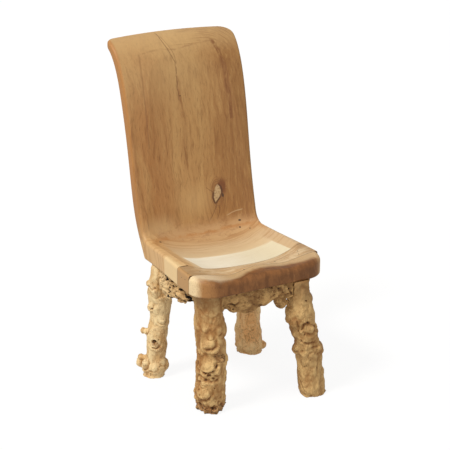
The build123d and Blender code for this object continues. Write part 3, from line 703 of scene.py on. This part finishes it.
    def seat(self):
        """The bowl, cut across the rings, with the cream zone in front and the tan rims."""
        rise, x, y = self.rise, self.x, self.y
        depth = y + 0.010 * (self.cloud - 0.5) + 0.003 * (self.wisp - 0.5)
        front_to_rear = [srgb(226, 198, 156), srgb(226, 198, 156), srgb(224, 196, 154), srgb(218, 190, 150),
                         srgb(214, 184, 142), srgb(206, 170, 124), srgb(194, 152, 104)]
        left_wall, right_rim = rise(x, -0.145, -0.165), rise(x, 0.160, 0.176)
        in_bowl = rise(x, -0.165, -0.150) * rise(x, 0.170, 0.155)
        in_front = rise(depth + 0.014 * (self.rings - 0.5), -0.052, -0.0625)
        cream = in_front * rise(x + 0.15 * y, -0.1585, -0.1555) * rise(x + 0.07 * y, 0.1655, 0.1620)
        sapwood = self.coats(
            self.mix(srgb(247, 238, 214), srgb(232, 218, 184), rise(x, -0.08, 0.13)),
            (srgb(222, 200, 160), 0.5 * rise(self.fine_rings, 0.45, 0.8)))
        band = self.line(x, -0.19, 0.20, self.z, [0.447, 0.441, 0.437, 0.436, 0.441, 0.449], 0.0075,
                         2.2 * self.waver)
        return self.coats(
            self.ramp(depth, -0.16, 0.10, front_to_rear),
            (srgb(172, 122, 72), 0.55 * rise(self.rings, 0.46, 0.68) * rise(depth, -0.05, 0.03)),
            (srgb(178, 130, 82), 0.26 * rise(self.fine_rings, 0.45, 0.7)),
            (srgb(218, 174, 116), 0.8 * left_wall),
            (srgb(208, 176, 134), 0.8 * right_rim * rise(depth, 0.05, -0.01)),
            (srgb(176, 122, 70), 0.5 * (left_wall + right_rim) * rise(self.rings, 0.48, 0.66)),
            (srgb(228, 200, 154), 0.45 * rise(depth, 0.020, -0.030) * in_bowl),
            (srgb(219, 169, 103), rise(x, -0.2105, -0.2145)),
            (srgb(240, 208, 154), 0.85 * in_front * rise(x, -0.196, -0.208)),
            (srgb(232, 200, 148), 0.5 * in_front * rise(x, -0.18, -0.20) * rise(self.streaks, 0.4, 0.6)),
            (sapwood, cream),
            (srgb(182, 122, 64), 0.62 * band * rise(y, -0.01, 0.03) * rise(self.wisp, 0.30, 0.55)))


def carved_block_finish():
    """Seat and back in one, with the stains in the bend, the small holes and the glue line."""
    wood = CarvedBlock()
    rise, x, y, z, wisp, grit = wood.rise, wood.x, wood.y, wood.z, wood.wisp, wood.grit
    back = wood.cracked(wood.knotted(wood.plain_back()))
    ragged_z = z + 0.020 * (wisp - 0.5) + 0.02 * (wood.cloud - 0.5)
    bend = rise(z, 0.50, 0.46) * rise(y, 0.04, 0.09)
    colour = wood.coats(
        wood.seat(),
        (back, rise(ragged_z, 0.440, 0.480) * rise(y, 0.03, 0.09)),
        (srgb(148, 98, 56), 0.36 * bend * rise(wisp + 0.5 * (grit - 0.5), 0.52, 0.70)),
        (srgb(184, 126, 68), 0.85 * rise(x, -0.2035, -0.2120) * rise(z, 0.46, 0.52)))
    for place, size in BLOCK_HOLES.values():
        dot = wood.blob(place, (1.6 * size, 1.6 * size, size))
        colour = wood.mix(colour, srgb(64, 44, 32), 0.9 * rise(dot, 0.05, 0.5))
    colour = wood.mix(colour, srgb(100, 68, 42), 0.8 * wood.near(y - STRIP_JOINT, SEAM_WIDTH))
    height = 0.5 * wood.fibres + 0.8 * wood.streaks - 2.0 * wood.fork - 1.5 * wood.tails
    return wood.finish(colour, 0.46 + 0.12 * (wood.bands - 0.5), height, 0.0006, 0.45)


def strip_finish(name, holes, dark_from, dark_to):
    """A glued strip: grey-brown wood that runs across the seat, darker to one side, with worm holes."""
    wood = Finish(name)
    rise = wood.rise
    cloud = wood.noise(14.0, detail=3.0)
    streaks = wood.noise(90.0, (7.0, 1.0, 1.0), 4.0, 0.6)
    fibres = wood.noise(420.0, (9.0, 1.0, 1.0), 3.0, 0.6)
    colour = wood.coats(
        wood.mix(srgb(220, 192, 150), srgb(198, 160, 114), rise(streaks, 0.38, 0.62)),
        (srgb(160, 122, 80), 0.60 * rise(wood.x + 0.09 * (cloud - 0.5), dark_from, dark_to)),
        (srgb(192, 148, 96), rise(wood.x, -0.206, -0.214)),
        (srgb(132, 96, 62), 0.25 * rise(fibres, 0.5, 0.75)))
    for place in holes.values():
        dot = wood.blob(place, (0.0030, 0.0030, 0.0026))
        colour = wood.mix(colour, srgb(62, 44, 32), rise(dot, 0.15, 0.55))
    for joint in (STRIP_JOINT, BOARD_JOINT):
        colour = wood.mix(colour, srgb(96, 66, 42), 0.85 * wood.near(wood.y - joint, SEAM_WIDTH))
    return wood.finish(colour, 0.5, fibres + streaks, 0.0005, 0.5)


def front_board_finish():
    """The front board: dark brown with upright streaks, pale along its lip from wear and painted highlight,
    and pale at its left corner.
    """
    wood = Finish("front_board_wood")
    rise, x, y, z = wood.rise, wood.x, wood.y, wood.z
    cloud = wood.noise(14.0, detail=3.0)
    patchy = wood.noise(45.0, (1.0, 1.0, 2.0), 4.0, 0.62)
    streaks = wood.noise(110.0, (1.0, 4.0, 4.0), 4.0, 0.68)
    grit = wood.noise(420.0, (1.0, 1.0, 2.5), 3.0, 0.6)
    fray = 0.030 * (patchy - 0.5) + 0.014 * (grit - 0.5)
    worn_and_lit_lip_y = wood.curve(x, -0.2215, 0.2215, [-0.246, -0.275, -0.289, -0.284, -0.270, -0.256, -0.257, -0.258,
                                               -0.257, -0.259, -0.272, -0.270, -0.262])
    # the pale lip is partly wear and partly painted highlight on the lit top behind the crest
    lip = rise(y - worn_and_lit_lip_y + 0.7 * fray, -0.016, 0.008) * rise(z, 0.396, 0.430)
    worn_and_lit_lip = wood.mix(srgb(238, 212, 172), srgb(212, 178, 130), rise(x, -0.17, -0.08))
    colour = wood.coats(
        wood.mix(srgb(143, 93, 49), srgb(119, 75, 37), rise(patchy + 0.5 * (streaks - 0.5), 0.36, 0.64)),
        (srgb(100, 63, 34), 0.45 * rise(cloud, 0.48, 0.70)),
        (srgb(176, 126, 76), 0.45 * rise(streaks, 0.42, 0.26)),
        (srgb(218, 174, 120), 0.90 * rise(x + fray, 0.176, 0.212)),
        (srgb(178, 127, 74), 0.90 * rise(x + fray + 0.25 * (z - 0.42), -0.146, -0.206)),
        (worn_and_lit_lip, 0.85 * lip),
        (srgb(242, 214, 166), 0.95 * rise(x + 0.4 * fray, -0.198, -0.2165)),
        (srgb(90, 60, 38), 0.85 * wood.near(y - BOARD_JOINT, SEAM_WIDTH)),
        (srgb(92, 58, 32), 0.35 * rise(grit, 0.5, 0.72)))
    return wood.finish(colour, 0.5, grit + streaks, 0.0005, 0.45)


def root_finish(name, light, deep, painted_shade_under_seat=0.0):
    """Peeled root: pale with painted highlight on its swellings, painted shade brown in its folds and
    near-black in its holes, painted shade at its top under the seat, with wrinkles and flecks.
    """
    wood = Finish(name)
    rise = wood.rise
    crease, hollow, ridge, burl = [wood.attribute(key) for key in ("crease", "hollow", "ridge", "burl")]
    cloud = wood.noise(15.0, (1.0, 1.0, 1.8), 4.0)
    streaks = wood.noise(110.0, (1.0, 1.0, 5.0), 4.0, 0.62)
    flecks = wood.noise(190.0, detail=2.0)
    crumbs = rise(wood.noise(150.0, detail=3.0, roughness=0.65), 0.50, 0.62)
    veins = wood.near(wood.noise(30.0, (1.0, 1.0, 1.7), 3.0) - 0.5, 0.035) * rise(cloud, 0.38, 0.56)
    wrinkles = wood.near(wood.noise(64.0, (1.0, 1.0, 1.5), 2.0) - 0.5, 0.030) * rise(streaks, 0.34, 0.56)
    colour = wood.coats(
        # light and deep follow cloudy noise, shifted by hollow and ridge: painted shade in hollows, painted
        # highlight on ridges
        wood.mix(light, deep, rise(cloud + 0.24 * (hollow - ridge), 0.34, 0.66)),
        (deep, 0.40 * rise(streaks, 0.48, 0.72)),
        (srgb(166, 106, 52), 0.50 * rise(flecks, 0.60, 0.74) * rise(cloud, 0.35, 0.6)),
        # painted shade: the top of the root is darkened under the seat, where the seat shades it
        (srgb(128, 90, 50), painted_shade_under_seat * rise(wood.z, 0.290, 0.370)),
        (srgb(150, 98, 50), 0.50 * veins),
        (srgb(134, 86, 42), 0.42 * wrinkles),
        (srgb(144, 98, 56), 0.60 * burl),
        (srgb(60, 40, 24), 0.85 * burl * crumbs),
        # painted shade: brown in hollows, darker brown in creases, near-black in deep holes
        (srgb(146, 98, 52), 0.70 * rise(hollow + 0.4 * (cloud - 0.5), 0.10, 0.75)),
        (srgb(108, 68, 35), 0.62 * rise(crease, 0.32, 1.0)),
        (srgb(46, 30, 18), 0.9 * rise(hollow, 0.66, 1.0) * rise(crease, 0.2, 0.8)))
    height = streaks + 0.6 * flecks - 0.8 * wrinkles - 1.2 * burl * crumbs
    return wood.finish(colour, 0.72, height, 0.0009, 0.6)


def burl_finish(name, light, deep, pale_end=0.0):
    """Burl: knotty brown with painted highlight on its buds, paler at its rear end, and painted shade in its
    dark creases and black holes.
    """
    wood = Finish(name)
    rise = wood.rise
    crease, hollow, ridge = [wood.attribute(key) for key in ("crease", "hollow", "ridge")]
    cloud = wood.noise(26.0, detail=4.0)
    grit = wood.noise(240.0, detail=3.0, roughness=0.65)
    wrinkles = wood.near(wood.noise(70.0, detail=3.0) - 0.5, 0.035) * rise(cloud, 0.36, 0.54)
    colour = wood.coats(
        # light and deep follow cloudy noise, shifted by hollow and ridge: painted shade in hollows, painted
        # highlight on buds
        wood.mix(light, deep, rise(cloud + 0.3 * (hollow - ridge), 0.34, 0.66)),
        (srgb(132, 92, 56), 0.45 * rise(grit, 0.5, 0.7)),
        (srgb(234, 204, 154), pale_end * rise(wood.y, -0.055, -0.020)),
        (srgb(96, 64, 36), 0.55 * wrinkles),
        # painted shade: brown in hollows, darker in creases, black in the deep holes
        (srgb(110, 74, 42), 0.60 * rise(hollow, 0.15, 0.7)),
        (srgb(84, 54, 30), 0.6 * rise(crease, 0.35, 1.0)),
        (srgb(26, 17, 11), rise(hollow, 0.42, 0.82)))
    return wood.finish(colour, 0.8, grit - 0.8 * wrinkles, 0.0009, 0.7)


def dowel_finish():
    """Turned dowels: plain pale wood."""
    wood = Finish("turned_dowel_wood")
    streaks = wood.noise(160.0, (1.0, 1.0, 8.0), 3.0)
    colour = wood.mix(srgb(222, 190, 142), srgb(198, 160, 110), streaks)
    return wood.finish(colour, 0.55, streaks, 0.0003, 0.4)


# ================================================================ the pieces
LEFT_STRIP_HOLES = {"rim_hole": (-0.1695, -0.2102, 0.4428), "corner_hole": (-0.2123, -0.2167, 0.4468),
                    "face_hole": (-0.2197, -0.1893, 0.4263), "face_hole_front": (-0.2207, -0.2137, 0.4287)}
RIGHT_STRIP_HOLES = {"dish_hole": (0.0784, -0.2238, 0.4330), "rim_hole": (0.1627, -0.2223, 0.4414),
                     "rim_hole_rear": (0.1713, -0.2029, 0.4433), "joint_hole": (-0.0364, -0.2365, 0.4330)}
INWARD = np.array([1.0, 0.0, 0.0])            # into the left apron from its outer face
HOLE_DRAW = np.array([0.4, 0.55, 1.0])        # its holes are drawn out along the rail


def dress(thing, material):
    """Gives a piece its one finish."""
    thing.data.materials.clear()
    thing.data.materials.append(material)


def dress_frame():
    """The carried-over CAD nodes: the carved block, the glued front and the dowels."""
    nodes = frame["nodes"]
    dress(nodes["back_and_seat"], carved_block_finish())
    dress(nodes["seat_strip_left"], strip_finish("left_strip_wood", LEFT_STRIP_HOLES, -0.15, -0.19))
    dress(nodes["seat_strip_right"], strip_finish("right_strip_wood", RIGHT_STRIP_HOLES, 0.16, 0.215))
    dress(nodes["seat_front_board"], front_board_finish())
    dowel_wood = dowel_finish()
    for name, node in nodes.items():
        if "dowel" in name or name.endswith("_pins"):
            dress(node, dowel_wood)


def legs():
    """The four root legs, each in its own tint."""
    # the last number of a front leg's tint is the share of painted shade at its top under the seat
    tints = {"leg_front_left": ("front_left_root_wood", srgb(218, 180, 121), srgb(168, 121, 68), 0.44),
             "leg_rear_left": ("rear_left_root_wood", srgb(242, 214, 162), srgb(214, 172, 114)),
             "leg_front_right": ("front_right_root_wood", srgb(204, 167, 110), srgb(166, 123, 72), 0.60),
             "leg_rear_right": ("rear_right_root_wood", srgb(255, 218, 160), srgb(246, 192, 128))}
    for node, tint in tints.items():
        dress(carved_root(node), root_finish(*tint))


def aprons():
    """The four burl aprons."""
    rough_burl = burl_finish("rough_burl", srgb(226, 188, 132), srgb(186, 142, 88), 0.65)
    front_burl = burl_finish("front_burl", srgb(207, 165, 106), srgb(153, 113, 67))
    dress(carved_apron("apron_front", 3.0, 0.22, 1.6, FRONT_APRON_PITS), front_burl)
    left_burl = carved_apron("apron_left", 7.0, 1.0, 0.9, {})
    eaten_through(left_burl, LEFT_APRON_HOLES, INWARD, HOLE_DRAW)
    dress(left_burl, rough_burl)
    dress(carved_apron("apron_right", 11.0, 0.8, 1.0, {}), rough_burl)
    dress(carved_apron("apron_rear", 15.0, 0.4, 1.4, {}), rough_burl)


# ================================================================ floor and light
FLOOR_REACH, FLOOR_DROP = 9.0, 0.0002
FLOOR_PALE = (0.62, 0.61, 0.59, 1.0)
FLOOR_GLOW, FLOOR_GLOW_SHARE = 1.12, 0.80
ROOM_STRENGTH, BACKDROP_STRENGTH = 0.46, 1.0


def floor():
    """A pale floor that keeps the chair's faint shadow."""
    sheet = bmesh.new()
    bmesh.ops.create_grid(sheet, x_segments=1, y_segments=1, size=FLOOR_REACH)
    mesh = bpy.data.meshes.new("floor")
    sheet.to_mesh(mesh)
    sheet.free()
    ground = bpy.data.objects.new("floor", mesh)
    scene.collection.objects.link(ground)
    pale = Nodes(bpy.data.materials.new("pale_floor"))
    matt = pale.tree.nodes["Principled BSDF"]
    matt.inputs["Base Color"].default_value = FLOOR_PALE
    matt.inputs["Roughness"].default_value = 0.9
    matt.inputs["Specular IOR Level"].default_value = 0.0
    glow = pale.node("ShaderNodeEmission", {}, {"Color": WHITE, "Strength": FLOOR_GLOW})
    seen = FLOOR_GLOW_SHARE * pale.node("ShaderNodeLightPath", {}, {}, "Is Camera Ray")
    blend = pale.node("ShaderNodeMixShader", {}, {0: seen, 1: Field(pale, matt.outputs[0]), 2: glow})
    pale.surface("Material Output", blend)
    mesh.materials.append(pale.owner)
    ground.location = (0.0, 0.0, -FLOOR_DROP)


def lamp(name, energy, spread, place):
    """A far lamp that shines from a direction, with a spread in degrees."""
    bulb = bpy.data.lights.new(name, "SUN")
    bulb.energy = energy
    bulb.angle = math.radians(spread)
    bulb.color = (1.0, 0.985, 0.96)
    hung = bpy.data.objects.new(name, bulb)
    hung.rotation_euler = Vector(place).to_track_quat("Z", "Y").to_euler()
    scene.collection.objects.link(hung)


def light():
    """A broad lamp high on the left, a low soft one in front, and a white room."""
    lamp("studio_lamp", 2.0, 16.0, (-0.60, -0.09, 0.80))
    lamp("front_fill", 0.50, 60.0, (-0.20, -0.90, 0.36))
    room = Nodes(bpy.data.worlds.new("white_room"))
    scene.world = room.owner
    walls = room.tree.nodes["Background"]
    walls.inputs["Color"].default_value = WHITE
    walls.inputs["Strength"].default_value = ROOM_STRENGTH
    backdrop = room.node("ShaderNodeBackground", {}, {"Color": WHITE, "Strength": BACKDROP_STRENGTH})
    seen = room.node("ShaderNodeLightPath", {}, {}, "Is Camera Ray")
    blend = room.node("ShaderNodeMixShader", {}, {0: seen, 1: Field(room, walls.outputs[0]), 2: backdrop})
    room.surface("World Output", blend)


dress_frame()
legs()
aprons()
floor()
light()
